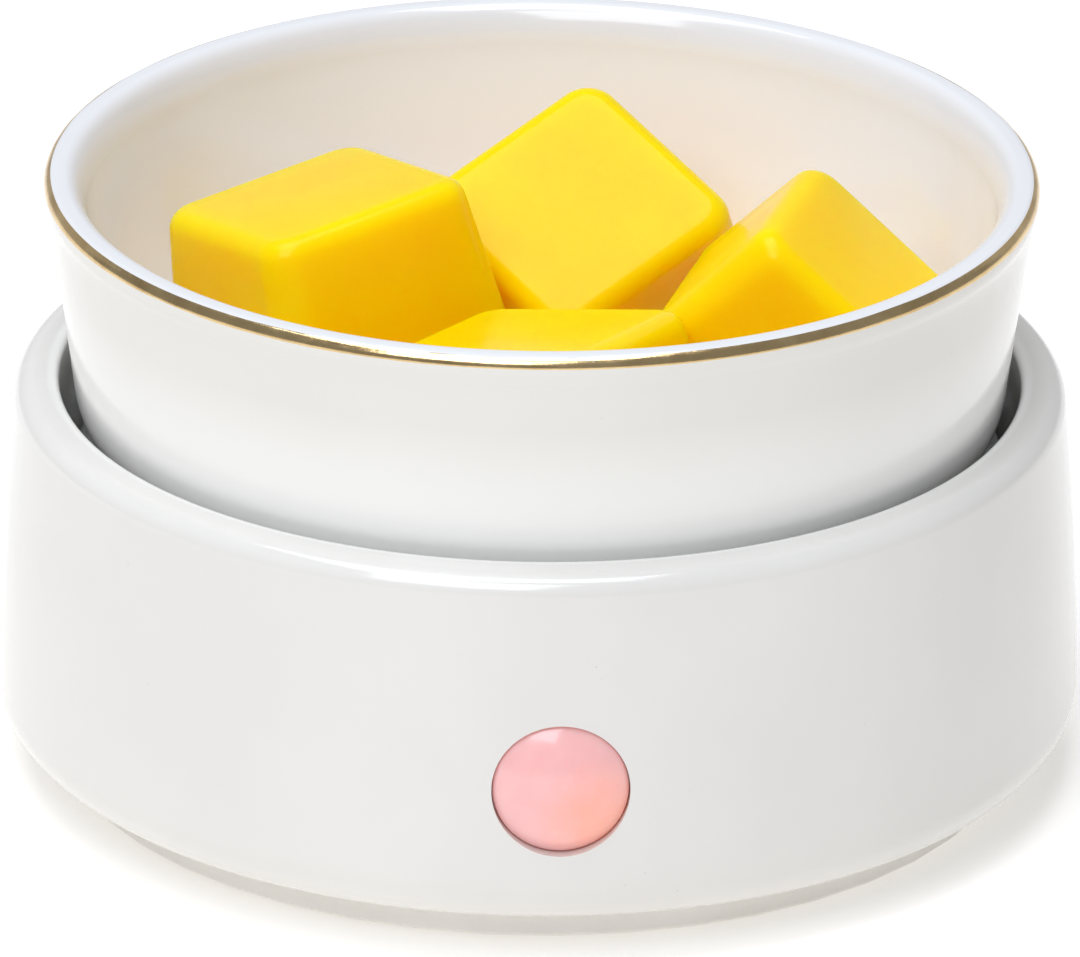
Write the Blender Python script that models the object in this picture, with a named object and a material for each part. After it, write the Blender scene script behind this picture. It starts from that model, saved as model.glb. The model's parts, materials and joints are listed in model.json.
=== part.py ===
"""Electric wax-melt warmer: a glazed ceramic base with a heated plate, a loose ceramic dish and five wax cubes.

Metres, +Z up. The origin is the centre of the ring of feet, on the plane the feet rest on.
The indicator lens faces -Y and the cord gland faces +Y.
"""

import math

import bmesh
import bpy
from mathutils import Matrix, Vector

MM = 0.001
GAP = 0.3  # clearance between touching pieces, mm

# ---------------------------------------------------------------- driving sizes, mm
SEGMENTS = 44

FOOT_PROUD = 0.6          # rubber feet stand this far below the bottom cover
FOOT_RADIUS = 6.0
FOOT_CIRCLE = 46.0
COVER_RADIUS = 55.4
COVER_FLOOR = 2.0
COVER_RIM_TOP = 4.3
COVER_LIP_TOP = 7.4

BASE_RADIUS = 62.6        # widest radius of the ceramic base
BASE_BOTTOM = 4.6
BASE_FILLET = 5.6         # round between the underside and the side
BASE_LEAN = 2.15          # the side leans in by this much at the shoulder
SHOULDER_Z = 43.9
SHOULDER_ROUND = 2.5
BASE_TOP = 46.8
OPENING_RADIUS = 55.2
LEDGE_TOP = 32.0
LEDGE_BOTTOM = 29.0
LEDGE_RADIUS = 47.5
WALL = 5.2

DISH_BOTTOM = 35.1
DISH_FLOOR = 39.1
DISH_CORNER = 12.5        # round between the dish's underside and its side
DISH_LEAN = math.radians(7.2)
RIM_TOP = 71.3
RIM_RADIUS = 56.8
DISH_INNER_CORNER = 9.0

PLATE_BOTTOM = 33.6
PLATE_TOP = 34.8
PLATE_RADIUS = 54.4

STANDOFF_CIRCLE = 38.0
STANDOFF_ANGLES = (30, 150, 270)

LENS_Z = 21.6
LENS_RADIUS = 7.6
LENS_APEX = 63.9
GLAND_Z = 16.6
GLAND_FACE = 63.9

CUBE_SMALL = 27.0         # side of a wax cube's small face
CUBE_LARGE = 31.0
CUBE_TALL = 20.5
CUBE_CORNER = 4.0
CUBE_EDGE = 2.2

for old in list(bpy.data.objects):
    bpy.data.objects.remove(old, do_unlink=True)


# ---------------------------------------------------------------- helpers
def material(name, colour, roughness, metallic=0.0):
    mat = bpy.data.materials.new(name)
    mat.use_nodes = True
    shader = mat.node_tree.nodes["Principled BSDF"]
    shader.inputs["Base Color"].default_value = (*colour, 1.0)
    shader.inputs["Roughness"].default_value = roughness
    shader.inputs["Metallic"].default_value = metallic
    mat.diffuse_color = (*colour, 1.0)
    return mat


def finish(name, bm, mat, smooth=True):
    bmesh.ops.remove_doubles(bm, verts=bm.verts, dist=1e-7)
    bmesh.ops.recalc_face_normals(bm, faces=bm.faces)
    mesh = bpy.data.meshes.new(name)
    bm.to_mesh(mesh)
    bm.free()
    obj = bpy.data.objects.new(name, mesh)
    bpy.context.scene.collection.objects.link(obj)
    if mat is not None:
        mesh.materials.append(mat)
    if smooth:
        mesh.shade_smooth()
        mesh.set_sharp_from_angle(angle=math.radians(34))
    return obj


def arc(cx, cz, rx, a0, a1, n, rz=None):
    """Points of an arc or an elliptic arc in the r-z plane, angles in degrees."""
    rz = rx if rz is None else rz
    return [
        (
            cx + rx * math.cos(math.radians(a0 + (a1 - a0) * i / n)),
            cz + rz * math.sin(math.radians(a0 + (a1 - a0) * i / n)),
        )
        for i in range(n + 1)
    ]


def turned_mesh(profile, segments=SEGMENTS, closed=False):
    """A profile of (r, z) in mm spun about Z; closed joins its last point to its first."""
    bm = bmesh.new()
    verts = [bm.verts.new((r * MM, 0.0, z * MM)) for r, z in profile]
    edges = [bm.edges.new((a, b)) for a, b in zip(verts, verts[1:])]
    if closed:
        edges.append(bm.edges.new((verts[-1], verts[0])))
    bmesh.ops.spin(
        bm,
        geom=verts + edges,
        cent=(0, 0, 0),
        axis=(0, 0, 1),
        angle=2 * math.pi,
        steps=segments,
        use_merge=True,
    )
    bmesh.ops.remove_doubles(bm, verts=bm.verts, dist=1e-6)
    return bm


def turned(name, profile, mat, segments=SEGMENTS, closed=False, matrix=None):
    bm = turned_mesh(profile, segments, closed)
    if matrix is not None:
        bm.transform(matrix)
    return finish(name, bm, mat)


def at(x, y, z):
    return Matrix.Translation((x * MM, y * MM, z * MM))


def along_y(x, y, z, sign=1):
    """Maps a part turned about Z to one turned about Y: its +Z end looks to +Y, or -Y with sign -1."""
    return at(x, y, z) @ Matrix.Rotation(math.radians(-90 * sign), 4, "X")


def along_x(x, y, z):
    return at(x, y, z) @ Matrix.Rotation(math.radians(90), 4, "Y")


def disc(r, z0, z1, hole=0.0):
    """Profile of a flat disc or washer."""
    if hole:
        return [(r, z1), (r, z0), (hole, z0), (hole, z1)], True
    return [(0, z1), (r, z1), (r, z0), (0, z0)], False


def prism_mesh(points, z0, z1):
    bm = bmesh.new()
    face = bm.faces.new([bm.verts.new((x * MM, y * MM, z0 * MM)) for x, y in points])
    grown = bmesh.ops.extrude_face_region(bm, geom=[face])
    up = [v for v in grown["geom"] if isinstance(v, bmesh.types.BMVert)]
    bmesh.ops.translate(bm, verts=up, vec=(0, 0, (z1 - z0) * MM))
    return bm


def prism(name, points, z0, z1, mat, matrix=None):
    bm = prism_mesh(points, z0, z1)
    if matrix is not None:
        bm.transform(matrix)
    return finish(name, bm, mat)


def box_mesh(x0, x1, y0, y1, z0, z1):
    return prism_mesh([(x0, y0), (x1, y0), (x1, y1), (x0, y1)], z0, z1)


def cutter(name, bm, matrix=None):
    if matrix is not None:
        bm.transform(matrix)
    obj = finish(name, bm, None, smooth=False)
    obj.hide_render = True
    obj.display_type = "WIRE"
    return obj


def cut(obj, *tools, operation="DIFFERENCE"):
    for tool in tools:
        mod = obj.modifiers.new(tool.name, "BOOLEAN")
        mod.operation = operation
        mod.solver = "EXACT"
        mod.object = tool


def rod_mesh(r, z0, z1, segments=16):
    profile, closed = disc(r, z0, z1)
    return turned_mesh(profile, segments, closed)


def ring_points(radius, degrees):
    return [
        (radius * math.cos(math.radians(a)), radius * math.sin(math.radians(a)))
        for a in degrees
    ]


# ---------------------------------------------------------------- materials
GLAZE = (0.80, 0.79, 0.77)
glaze_base = material("glazed_base", GLAZE, 0.16)
glaze_dish = material("glazed_dish", (0.78, 0.77, 0.75), 0.14)
cover_plastic = material("cover_plastic", (0.70, 0.68, 0.64), 0.45)
rubber = material("foot_rubber", (0.62, 0.61, 0.58), 0.8)
silicone = material("gasket_silicone", (0.72, 0.70, 0.66), 0.6)
aluminium = material("plate_aluminium", (0.78, 0.78, 0.79), 0.32, 1.0)
reflector_metal = material("reflector_aluminium", (0.82, 0.82, 0.83), 0.22, 1.0)
steel = material("zinc_steel", (0.62, 0.62, 0.60), 0.35, 1.0)
mica = material("mica_sheet", (0.48, 0.40, 0.28), 0.5)
element = material("heater_foil", (0.30, 0.26, 0.24), 0.5, 0.6)
nylon = material("white_nylon", (0.74, 0.73, 0.70), 0.4)
lens_pink = material("lens_pink", (0.90, 0.55, 0.53), 0.25)
lamp_glass = material("lamp_glass", (0.85, 0.45, 0.30), 0.08)
resistor_body = material("resistor_body", (0.62, 0.50, 0.34), 0.5)
fuse_metal = material("fuse_body", (0.70, 0.68, 0.62), 0.3, 1.0)
insulation_brown = material("lead_brown", (0.16, 0.07, 0.03), 0.5)
insulation_blue = material("lead_blue", (0.03, 0.10, 0.35), 0.5)
insulation_white = material("lead_white", (0.72, 0.70, 0.66), 0.55)
wax = material("yellow_wax", (0.95, 0.58, 0.03), 0.35)


# ---------------------------------------------------------------- ceramic base
def base_outside():
    """From the underside round the fillet, up the leaning side and over the shoulder to the opening."""
    side_bottom = BASE_BOTTOM + BASE_FILLET
    points = arc(BASE_RADIUS - BASE_FILLET, side_bottom, BASE_FILLET, -90, 0, 5)
    steps = 4
    for i in range(1, steps + 1):
        share = i / steps
        points.append(
            (
                BASE_RADIUS - BASE_LEAN * share**1.5,
                side_bottom + (SHOULDER_Z - side_bottom) * share,
            )
        )
    points += arc(
        BASE_RADIUS - BASE_LEAN - SHOULDER_ROUND, SHOULDER_Z, SHOULDER_ROUND, 14, 84, 3
    )
    points.append((OPENING_RADIUS + 1.4, BASE_TOP - 0.04))
    points += arc(OPENING_RADIUS + 1.1, BASE_TOP - 1.1, 1.1, 90, 180, 2)
    return points


inner = BASE_RADIUS - WALL
base_profile = base_outside() + [
    (OPENING_RADIUS, LEDGE_TOP + 0.8),
    (OPENING_RADIUS - 0.8, LEDGE_TOP),
    (LEDGE_RADIUS, LEDGE_TOP),
    (LEDGE_RADIUS, LEDGE_BOTTOM),
    (inner - 0.9, LEDGE_BOTTOM),
    (inner - 0.2, LEDGE_BOTTOM - 0.4),
    (inner, LEDGE_BOTTOM - 1.4),
    (inner, 13.2),
    (inner - 1.4, 9.8),
    (inner - 3.2, 8.0),
    (COVER_RADIUS - 2.9, 7.9),
    (COVER_RADIUS - 2.9, BASE_BOTTOM),
]
ceramic_base = turned("ceramic_base", base_profile, glaze_base, closed=True)
# Each bore's facets are turned a little, so that none of its edges meets an upright edge of the base.
lens_counterbore = cutter(
    "lens_counterbore",
    rod_mesh(LENS_RADIUS + GAP, 59.4, 66.0, 24),
    along_y(0, 0, LENS_Z, -1) @ Matrix.Rotation(math.radians(5.3), 4, "Z"),
)
lens_bore = cutter(
    "lens_bore",
    rod_mesh(4.7, 50.0, 66.0, 16),
    along_y(0, 0, LENS_Z, -1) @ Matrix.Rotation(math.radians(8.1), 4, "Z"),
)
gland_bore = cutter(
    "gland_bore",
    rod_mesh(5.5, 50.0, 68.0, 20),
    along_y(0, 0, GLAND_Z, 1) @ Matrix.Rotation(math.radians(6.7), 4, "Z"),
)
cut(ceramic_base, lens_counterbore, lens_bore, gland_bore)


# ---------------------------------------------------------------- dish
def dish_profile():
    lean = math.tan(DISH_LEAN)
    lean_deg = math.degrees(DISH_LEAN)
    side_top = 67.7
    side_r = RIM_RADIUS - 0.55
    centre_z = DISH_BOTTOM + DISH_CORNER
    arc_end_z = centre_z - DISH_CORNER * math.sin(DISH_LEAN)
    arc_end_r = side_r - (side_top - arc_end_z) * lean
    centre_r = arc_end_r - DISH_CORNER * math.cos(DISH_LEAN)
    outside = [(0.0, DISH_BOTTOM)]
    outside += arc(centre_r, centre_z, DISH_CORNER, -90, -lean_deg, 5)
    outside += [(arc_end_r + (side_r - arc_end_r) * 0.5, (arc_end_z + side_top) / 2)]
    outside += [(side_r, side_top), (RIM_RADIUS - 0.12, side_top + 1.2)]
    outside += arc(RIM_RADIUS - 1.3, RIM_TOP - 1.3, 1.3, 10, 90, 3)
    wall_r = RIM_RADIUS - 4.8
    wall_z = RIM_TOP - 4.8
    inside = arc(RIM_RADIUS - 2.2, wall_z, 2.6, 90, 180, 4, 4.8)
    floor_centre = DISH_FLOOR + DISH_INNER_CORNER
    low_r = wall_r - (wall_z - floor_centre) * lean
    corner = arc(
        low_r - DISH_INNER_CORNER, floor_centre, DISH_INNER_CORNER, -lean_deg, -90, 5
    )
    return outside + inside + corner + [(0.0, DISH_FLOOR)]


dish = turned("dish", dish_profile(), glaze_dish)

# ---------------------------------------------------------------- hot plate and heater stack
hot_plate = turned(
    "hot_plate",
    [
        (0, PLATE_TOP),
        (PLATE_RADIUS - 0.4, PLATE_TOP),
        (PLATE_RADIUS, PLATE_TOP - 0.4),
        (PLATE_RADIUS, PLATE_BOTTOM),
        (2.0, PLATE_BOTTOM),
        (2.0, 20.2),
        (1.7, 19.9),
        (0, 19.9),
    ],
    aluminium,
    40,
)
profile, closed = disc(53.6, LEDGE_TOP + GAP, PLATE_BOTTOM - GAP, LEDGE_RADIUS + 0.7)
plate_gasket = turned("plate_gasket", profile, silicone, 40, closed)
profile, closed = disc(30.0, 32.8, 33.3, 2.6)
turned("mica_sheet_upper", profile, mica, 32, closed)
profile, closed = disc(30.0, 30.5, 31.0, 2.6)
turned("mica_sheet_lower", profile, mica, 32, closed)

profile, closed = disc(28.0, 31.3, 32.5, 2.6)
heater_element = turned("heater_element", profile, element, 32, closed)
for i, angle in enumerate((75, 105)):
    tab = cutter(
        f"heater_tab_{i + 1}",
        box_mesh(24.0, 36.4, -2.5, 2.5, 31.45, 32.35),
        Matrix.Rotation(math.radians(angle), 4, "Z"),
    )
    cut(heater_element, tab, operation="UNION")

profile, closed = disc(31.0, 29.2, 30.2, 2.6)
clamp_plate = turned("clamp_plate", profile, steel, 32, closed)
FUSE = (-17.0, 12.0, 27.25)
fuse_screw_hole = cutter(
    "fuse_screw_hole", rod_mesh(1.5, 28.0, 31.5, 12), at(FUSE[0], FUSE[1] - 6.0, 0)
)
cut(clamp_plate, fuse_screw_hole)
profile, closed = disc(5.0, 28.2, 28.9, 2.3)
turned("clamp_washer", profile, steel, 24, closed)


def nut(name, z0, z1, flats, hole, mat, matrix=None, sides=6):
    """A hexagon nut with a plain bore."""
    bm = bmesh.new()
    corner = flats / 2 / math.cos(math.pi / sides)
    steps = 24
    rings = []
    for z in (z0, z1):
        outer = []
        for i in range(steps):
            a = 2 * math.pi * i / steps
            local = (a % (2 * math.pi / sides)) - math.pi / sides
            r = corner * math.cos(math.pi / sides) / math.cos(local)
            outer.append(bm.verts.new((r * math.cos(a) * MM, r * math.sin(a) * MM, z * MM)))
        bore = [
            bm.verts.new(
                (
                    hole * math.cos(2 * math.pi * i / steps) * MM,
                    hole * math.sin(2 * math.pi * i / steps) * MM,
                    z * MM,
                )
            )
            for i in range(steps)
        ]
        rings.append((outer, bore))
    (o0, b0), (o1, b1) = rings
    for i in range(steps):
        j = (i + 1) % steps
        bm.faces.new((o0[i], o0[j], o1[j], o1[i]))
        bm.faces.new((b0[j], b0[i], b1[i], b1[j]))
        bm.faces.new((o1[i], o1[j], b1[j], b1[i]))
        bm.faces.new((o0[j], o0[i], b0[i], b0[j]))
    if matrix is not None:
        bm.transform(matrix)
    return finish(name, bm, mat)


nut("clamp_nut", 24.9, 27.9, 7.0, 2.3, steel)
nut("lock_nut", 20.7, 23.7, 7.0, 2.3, steel)

# Reflector: a shallow pan with a turned-down rim that keeps heat off the wiring.
heat_reflector = turned(
    "heat_reflector",
    [
        (2.6, 24.6),
        (43.2, 24.6),
        (43.9, 23.9),
        (43.9, 21.2),
        (43.3, 21.2),
        (43.3, 23.6),
        (42.9, 24.0),
        (2.6, 24.0),
    ],
    reflector_metal,
    40,
    True,
)
standoffs = ring_points(STANDOFF_CIRCLE, STANDOFF_ANGLES)
for i, (x, y) in enumerate(standoffs):
    cut(
        heat_reflector,
        cutter(f"reflector_hole_{i + 1}", rod_mesh(4.1, 20.0, 27.0, 12), at(x, y, 0)),
    )
WIRE_HOLES = ring_points(34.4, (75, 105)) + [(-26.0, 13.0)]
for i, (x, y) in enumerate(WIRE_HOLES):
    cut(
        heat_reflector,
        cutter(f"wire_hole_{i + 1}", rod_mesh(2.2, 20.0, 27.0, 12), at(x, y, 0)),
    )

# Thermal fuse held under the clamp plate by a saddle clip and one screw.
turned(
    "thermal_fuse",
    [(0, 5.6), (0.8, 5.6), (1.5, 4.9), (1.5, -4.9), (0.8, -5.6), (0, -5.6)],
    fuse_metal,
    16,
    matrix=along_x(*FUSE),
)


def saddle_outline():
    """Side view of the clip: a flat tongue for the screw, then a hook under the fuse."""
    inside = [(1.8 * math.cos(math.radians(a)), 1.8 * math.sin(math.radians(a))) for a in range(160, 361, 25)]
    outside = [(2.3 * math.cos(math.radians(a)), 2.3 * math.sin(math.radians(a))) for a in range(360, 159, -25)]
    tongue = [(-2.6, 1.1), (-8.6, 1.1), (-8.6, 1.65), (-1.9, 1.65)]
    return inside + outside + tongue


bm = prism_mesh(saddle_outline(), -2.5, 2.5)
bm.transform(
    at(*FUSE)
    @ Matrix(((0, 0, 1, 0), (1, 0, 0, 0), (0, 1, 0, 0), (0, 0, 0, 1)))
)
fuse_clip = finish("fuse_clip", bm, steel)
clip_hole = cutter(
    "clip_hole", rod_mesh(1.4, 26.0, 30.0, 12), at(FUSE[0], FUSE[1] - 6.0, 0)
)
cut(fuse_clip, clip_hole)


def screw(name, head_r, head_t, shank_r, length, matrix, mat=steel, cross=False):
    """A pan-head screw: head up, shank down from z = 0 under the head. cross sinks a cross into the head."""
    profile = [
        (0, head_t),
        (head_r * 0.7, head_t),
        (head_r, head_t * 0.5),
        (head_r, 0),
        (shank_r, 0),
        (shank_r, -length + shank_r * 0.7),
        (0, -length),
    ]
    obj = turned(name, profile, mat, 12, matrix=matrix)
    if not cross:
        return obj
    slot = []
    for k, turn in enumerate((0, 90)):
        slot.append(
            cutter(
                f"{name}_slot_{k + 1}",
                box_mesh(
                    -head_r * 0.5,
                    head_r * 0.5,
                    -head_r * 0.11,
                    head_r * 0.11,
                    head_t * 0.45,
                    head_t + 1.0,
                ),
                matrix @ Matrix.Rotation(math.radians(turn), 4, "Z"),
            )
        )
    cut(obj, *slot)
    return obj


UPSIDE_DOWN = Matrix.Rotation(math.pi, 4, "X")
screw(
    "fuse_screw",
    2.0,
    1.2,
    1.1,
    2.1,
    at(FUSE[0], FUSE[1] - 6.0, FUSE[2] + 1.1 - GAP) @ UPSIDE_DOWN,
)

# ---------------------------------------------------------------- standoffs between plate and cover
for i, (x, y) in enumerate(standoffs):
    turned(
        f"standoff_{i + 1}",
        [
            (0, PLATE_BOTTOM - GAP),
            (3.4, PLATE_BOTTOM - GAP),
            (3.4, 9.8),
            (2.0, 9.8),
            (2.0, 21.0),
            (0, 22.2),
        ],
        steel,
        12,
        matrix=at(x, y, 0),
    )

# ---------------------------------------------------------------- bottom cover
floor_top = FOOT_PROUD + COVER_FLOOR
bottom_cover = turned(
    "bottom_cover",
    [
        (0, floor_top),
        (COVER_RADIUS - 5.1, floor_top),
        (COVER_RADIUS - 5.1, COVER_LIP_TOP),
        (COVER_RADIUS - 3.3, COVER_LIP_TOP),
        (COVER_RADIUS - 3.3, COVER_RIM_TOP),
        (COVER_RADIUS, COVER_RIM_TOP),
        (COVER_RADIUS, FOOT_PROUD + 0.5),
        (COVER_RADIUS - 0.5, FOOT_PROUD),
        (0, FOOT_PROUD),
    ],
    cover_plastic,
)
for i, (x, y) in enumerate(standoffs):
    boss = cutter(f"boss_{i + 1}", rod_mesh(5.2, 1.4, 9.5, 16), at(x, y, 0))
    cut(bottom_cover, boss, operation="UNION")
CLAMP_Y = 43.6
for side in (-1, 1):
    post = cutter(
        f"clamp_post_{'left' if side < 0 else 'right'}",
        rod_mesh(2.8, 1.4, 7.6, 16),
        at(side * 8.0, CLAMP_Y, 0),
    )
    cut(bottom_cover, post, operation="UNION")
for i, (x, y) in enumerate(standoffs):
    cut(
        bottom_cover,
        cutter(f"screw_hole_{i + 1}", rod_mesh(2.0, -1.0, 12.0, 12), at(x, y, 0)),
        cutter(f"screw_sink_{i + 1}", rod_mesh(3.8, -1.0, 6.6, 14), at(x, y, 0)),
    )
for side in (-1, 1):
    cut(
        bottom_cover,
        cutter(
            f"post_hole_{'left' if side < 0 else 'right'}",
            rod_mesh(1.4, 2.4, 9.0, 12),
            at(side * 8.0, CLAMP_Y, 0),
        ),
    )
feet = ring_points(FOOT_CIRCLE, (45, 135, 225, 315))
for i, (x, y) in enumerate(feet):
    cut(
        bottom_cover,
        cutter(
            f"foot_seat_{i + 1}",
            rod_mesh(FOOT_RADIUS + GAP, -1.0, FOOT_PROUD + 1.0, 16),
            at(x, y, 0),
        ),
    )
for i in range(8):
    cut(
        bottom_cover,
        cutter(
            f"vent_{i + 1}",
            box_mesh(9.0, 22.0, -1.25, 1.25, -1.0, 4.0),
            Matrix.Rotation(math.radians(22.5 + 45 * i), 4, "Z"),
        ),
    )
for i, (x, y) in enumerate(standoffs):
    screw(
        f"cover_screw_{i + 1}", 3.3, 2.0, 1.6, 12.0, at(x, y, 6.3) @ UPSIDE_DOWN, cross=True
    )
for i, (x, y) in enumerate(feet):
    top = FOOT_PROUD + 1.0 - GAP
    turned(
        f"foot_{i + 1}",
        [
            (0, top),
            (FOOT_RADIUS, top),
            (FOOT_RADIUS, 0.45),
            (FOOT_RADIUS - 0.45, 0),
            (0, 0),
        ],
        rubber,
        16,
        matrix=at(x, y, 0),
    )

# ---------------------------------------------------------------- indicator lens and lamp
# Turned about Z with the dome at the top, then laid to look along -Y.
dome_edge = 61.3
dome_rise = LENS_APEX - dome_edge
dome_curve = (LENS_RADIUS**2 + dome_rise**2) / (2 * dome_rise)
half = math.degrees(math.asin(LENS_RADIUS / dome_curve))
lens_profile = arc(0, LENS_APEX - dome_curve, dome_curve, 90, 90 - half, 5)
lens_profile[0] = (0, LENS_APEX)
lens_profile += [
    (LENS_RADIUS, 59.7),
    (4.3, 59.7),
    (4.3, 53.4),
    (2.9, 53.4),
    (2.9, 59.6),
    (2.0, 60.6),
    (0, 60.9),
]
turned("indicator_lens", lens_profile, lens_pink, 24, matrix=along_y(0, 0, LENS_Z, -1))
turned(
    "lens_retainer",
    [(5.5, 56.1), (5.7, 55.8), (5.7, 54.6), (4.6, 54.6), (4.6, 56.1)],
    nylon,
    20,
    True,
    along_y(0, 0, LENS_Z, -1),
)
turned(
    "lamp_holder",
    [(5.2, 53.1), (5.2, 50.2), (4.2, 48.9), (2.6, 48.9), (2.6, 53.1)],
    nylon,
    20,
    True,
    along_y(0, 0, LENS_Z, -1),
)
turned(
    "neon_lamp",
    [(0, 60.3), (0.9, 60.1), (1.8, 59.2), (2.2, 57.8), (2.2, 49.4), (1.6, 48.2), (0, 47.9)],
    lamp_glass,
    16,
    matrix=along_y(0, 0, LENS_Z, -1),
)
RESISTOR = (12.0, -44.0, 18.0)
turned(
    "lamp_resistor",
    [(0, 3.4), (1.0, 3.3), (1.35, 2.6), (1.2, 1.8), (1.2, -1.8), (1.35, -2.6), (1.0, -3.3), (0, -3.4)],
    resistor_body,
    12,
    matrix=along_x(*RESISTOR),
)

# ---------------------------------------------------------------- cord gland and clamp
turned(
    "cord_gland",
    [
        (7.0, GLAND_FACE - 0.4),
        (7.0, 62.95),
        (5.1, 62.95),
        (5.1, 50.4),
        (3.5, 50.4),
        (3.5, GLAND_FACE - 0.5),
        (3.9, GLAND_FACE),
        (6.6, GLAND_FACE),
    ],
    cover_plastic,
    24,
    True,
    along_y(0, 0, GLAND_Z, 1),
)
nut(
    "gland_nut",
    52.2,
    54.9,
    12.2,
    5.45,
    nylon,
    along_y(0, 0, GLAND_Z, 1) @ Matrix.Rotation(math.radians(30), 4, "Z"),
)


def clamp_outline():
    """Front view of the cord clamp: a bar with a half-round arch in the middle."""
    over = [(4.6 * math.cos(math.radians(a)), 8.0 + 4.6 * math.sin(math.radians(a))) for a in range(22, 159, 17)]
    under = [(3.2 * math.cos(math.radians(a)), 7.9 + 3.2 * math.sin(math.radians(a))) for a in range(180, -1, -18)]
    return (
        [(11.0, 7.9), (11.0, 9.7)]
        + over
        + [(-11.0, 9.7), (-11.0, 7.9)]
        + under
    )


bm = prism_mesh(clamp_outline(), -2.6, 2.6)
bm.transform(at(0, CLAMP_Y, 0) @ Matrix(((1, 0, 0, 0), (0, 0, -1, 0), (0, 1, 0, 0), (0, 0, 0, 1))))
cord_clamp = finish("cord_clamp", bm, nylon)
for i, side in enumerate((-1, 1)):
    cut(
        cord_clamp,
        cutter(
            f"clamp_hole_{i + 1}", rod_mesh(1.4, 5.0, 12.0, 12), at(side * 8.0, CLAMP_Y, 0)
        ),
    )
    screw(
        f"cord_clamp_screw_{i + 1}", 2.2, 1.4, 1.05, 6.4, at(side * 8.0, CLAMP_Y, 10.0)
    )

# ---------------------------------------------------------------- terminal block
BLOCK_Y = 30.0
terminal_block = finish(
    "terminal_block",
    box_mesh(-14.0, 14.0, BLOCK_Y - 5.5, BLOCK_Y + 5.5, floor_top + GAP, 12.0),
    nylon,
    smooth=False,
)
bevel = terminal_block.modifiers.new("soft_edges", "BEVEL")
bevel.width = 0.6 * MM
bevel.segments = 1
for i, x in enumerate((-10.0, -3.4, 3.4, 10.0)):
    cut(
        terminal_block,
        cutter(f"terminal_well_{i + 1}", rod_mesh(1.9, 7.0, 14.0, 12), at(x, BLOCK_Y + 1.6, 0)),
    )
block_screw_hole = cutter(
    "block_screw_hole", rod_mesh(1.5, 1.0, 14.0, 12), at(0, BLOCK_Y - 2.6, 0)
)
cut(terminal_block, block_screw_hole)
cut(
    bottom_cover,
    cutter("cover_block_hole", rod_mesh(1.45, 0.0, 4.0, 12), at(0, BLOCK_Y - 2.6, 0)),
)
screw("terminal_block_screw", 2.2, 1.4, 1.05, 11.2, at(0, BLOCK_Y - 2.6, 12.3))


# ---------------------------------------------------------------- internal leads
def smooth_route(route, count):
    """Evenly spaced points of a Catmull-Rom curve through the route's points, mm."""
    ends = [Vector(p) for p in route]
    pts = [2 * ends[0] - ends[1]] + ends + [2 * ends[-1] - ends[-2]]
    fine = []
    for k in range(1, len(pts) - 2):
        p0, p1, p2, p3 = pts[k - 1 : k + 3]
        for s in range(20):
            t = s / 20
            fine.append(
                0.5
                * (
                    2 * p1
                    + (p2 - p0) * t
                    + (2 * p0 - 5 * p1 + 4 * p2 - p3) * t * t
                    + (3 * p1 - p0 - 3 * p2 + p3) * t**3
                )
            )
    fine.append(ends[-1].copy())
    run = [0.0]
    for a, b in zip(fine, fine[1:]):
        run.append(run[-1] + (b - a).length)
    out = []
    for i in range(count):
        want = run[-1] * i / (count - 1)
        k = max(j for j in range(len(run)) if run[j] <= want + 1e-9)
        k = min(k, len(fine) - 2)
        share = (want - run[k]) / max(run[k + 1] - run[k], 1e-9)
        out.append(fine[k].lerp(fine[k + 1], min(max(share, 0.0), 1.0)))
    return out


def lead(name, route, mat, radius=0.75, pitch=3.6):
    length = sum((Vector(b) - Vector(a)).length for a, b in zip(route, route[1:]))
    points = smooth_route(route, max(6, int(length / pitch) + 1))
    curve = bpy.data.curves.new(name, "CURVE")
    curve.dimensions = "3D"
    curve.bevel_depth = radius * MM
    curve.bevel_resolution = 2
    curve.use_fill_caps = True
    spline = curve.splines.new("POLY")
    spline.points.add(len(points) - 1)
    for target, p in zip(spline.points, points):
        target.co = (p.x * MM, p.y * MM, p.z * MM, 1.0)
    curve.materials.append(mat)
    obj = bpy.data.objects.new(name, curve)
    bpy.context.scene.collection.objects.link(obj)
    return obj


tab_a, tab_b = ring_points(34.4, (75, 105))
lead(
    "lead_neutral",
    [
        (10.0, BLOCK_Y + 1.6, 9.0),
        (10.0, BLOCK_Y + 1.8, 14.0),
        (tab_a[0] + 0.2, tab_a[1], 19.0),
        (tab_a[0], tab_a[1], 25.0),
        (tab_a[0], tab_a[1], 30.85),
    ],
    insulation_blue,
)
lead(
    "lead_live",
    [
        (-10.0, BLOCK_Y + 1.6, 9.0),
        (-10.6, BLOCK_Y + 1.0, 14.5),
        (-19.0, 22.0, 19.0),
        (-25.6, 13.6, 22.0),
        (-26.4, 12.4, 25.2),
        (-25.0, 12.0, 26.9),
        (FUSE[0] - 6.1, FUSE[1], FUSE[2]),
    ],
    insulation_brown,
)
lead(
    "lead_fuse",
    [
        (FUSE[0] + 6.1, FUSE[1], FUSE[2]),
        (-8.0, 12.6, 26.9),
        (-6.6, 20.0, 26.7),
        (-8.2, 29.0, 26.9),
        (tab_b[0], tab_b[1] - 0.2, 28.6),
        (tab_b[0], tab_b[1], 30.85),
    ],
    insulation_brown,
)
lead(
    "lamp_lead_live",
    [
        (-1.0, -47.1, LENS_Z),
        (-2.4, -45.4, 19.0),
        (-9.0, -38.0, 13.0),
        (-13.0, -18.0, 9.0),
        (-12.0, 6.0, 8.0),
        (-6.4, 20.0, 14.6),
        (-3.8, 29.0, 16.4),
        (-3.4, BLOCK_Y + 1.6, 13.6),
        (-3.4, BLOCK_Y + 1.6, 9.0),
    ],
    insulation_white,
    0.6,
)
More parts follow.
